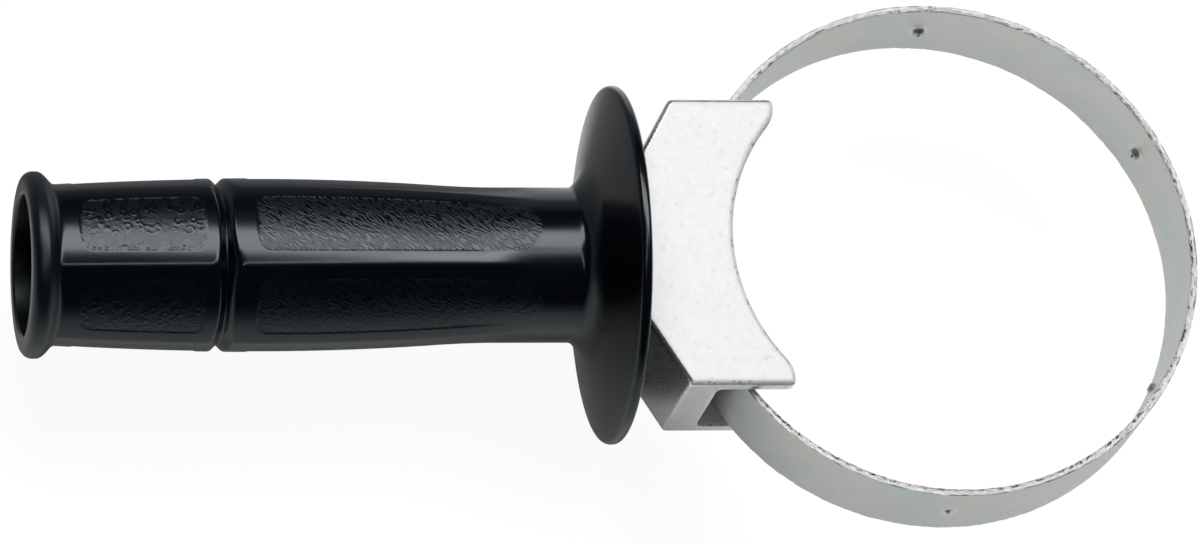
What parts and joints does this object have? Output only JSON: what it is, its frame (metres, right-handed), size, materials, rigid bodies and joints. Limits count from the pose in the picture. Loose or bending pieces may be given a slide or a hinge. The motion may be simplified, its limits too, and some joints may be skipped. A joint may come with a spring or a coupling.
{
  "type": "power tool side handle",
  "caption": "Hollow side handle with a round hand guard, turned to draw a steel band tight round a tool's cylindrical collar, against a cast jawed saddle.",
  "frame": {"origin": "centre of the band's loop, on the axis of the collar that it clamps", "axes": "+X along the handle, away from the grip; +Z along the collar; +Y across the saddle"},
  "size_m": [0.2482, 0.1096, 0.075],
  "materials": {
    "black_moulding": "satin black moulding with grained panels",
    "cast_aluminium": "blasted casting",
    "zinc_band": "zinc plated strip with sheared edges",
    "plated_fasteners": "zinc plated"
  },
  "bodies": {
    "clamp_block": {"saddle": "cast_aluminium", "thrust_washer": "plated_fasteners"},
    "turning_grip": {"grip": "black_moulding", "grip_insert": "plated_fasteners"},
    "band": {"strap": "zinc_band", "clamp_bolt": "plated_fasteners"}
  },
  "joints": [
    {"name": "grip_turn", "type": "hinge", "parent": "clamp_block", "child": "turning_grip", "pos_m": [-0.0684, 0, 0], "axis": [1, 0, 0], "range_deg": [-720, 1150]},
    {"name": "band_draw", "type": "slide", "parent": "clamp_block", "child": "band", "axis": [-1, 0, 0], "range_m": [-0.00251, 0.004]}
  ],
  "couplings": [
    {"joint": "band_draw", "follows": "grip_turn", "m_per_rad": 0.00019894}
  ]
}
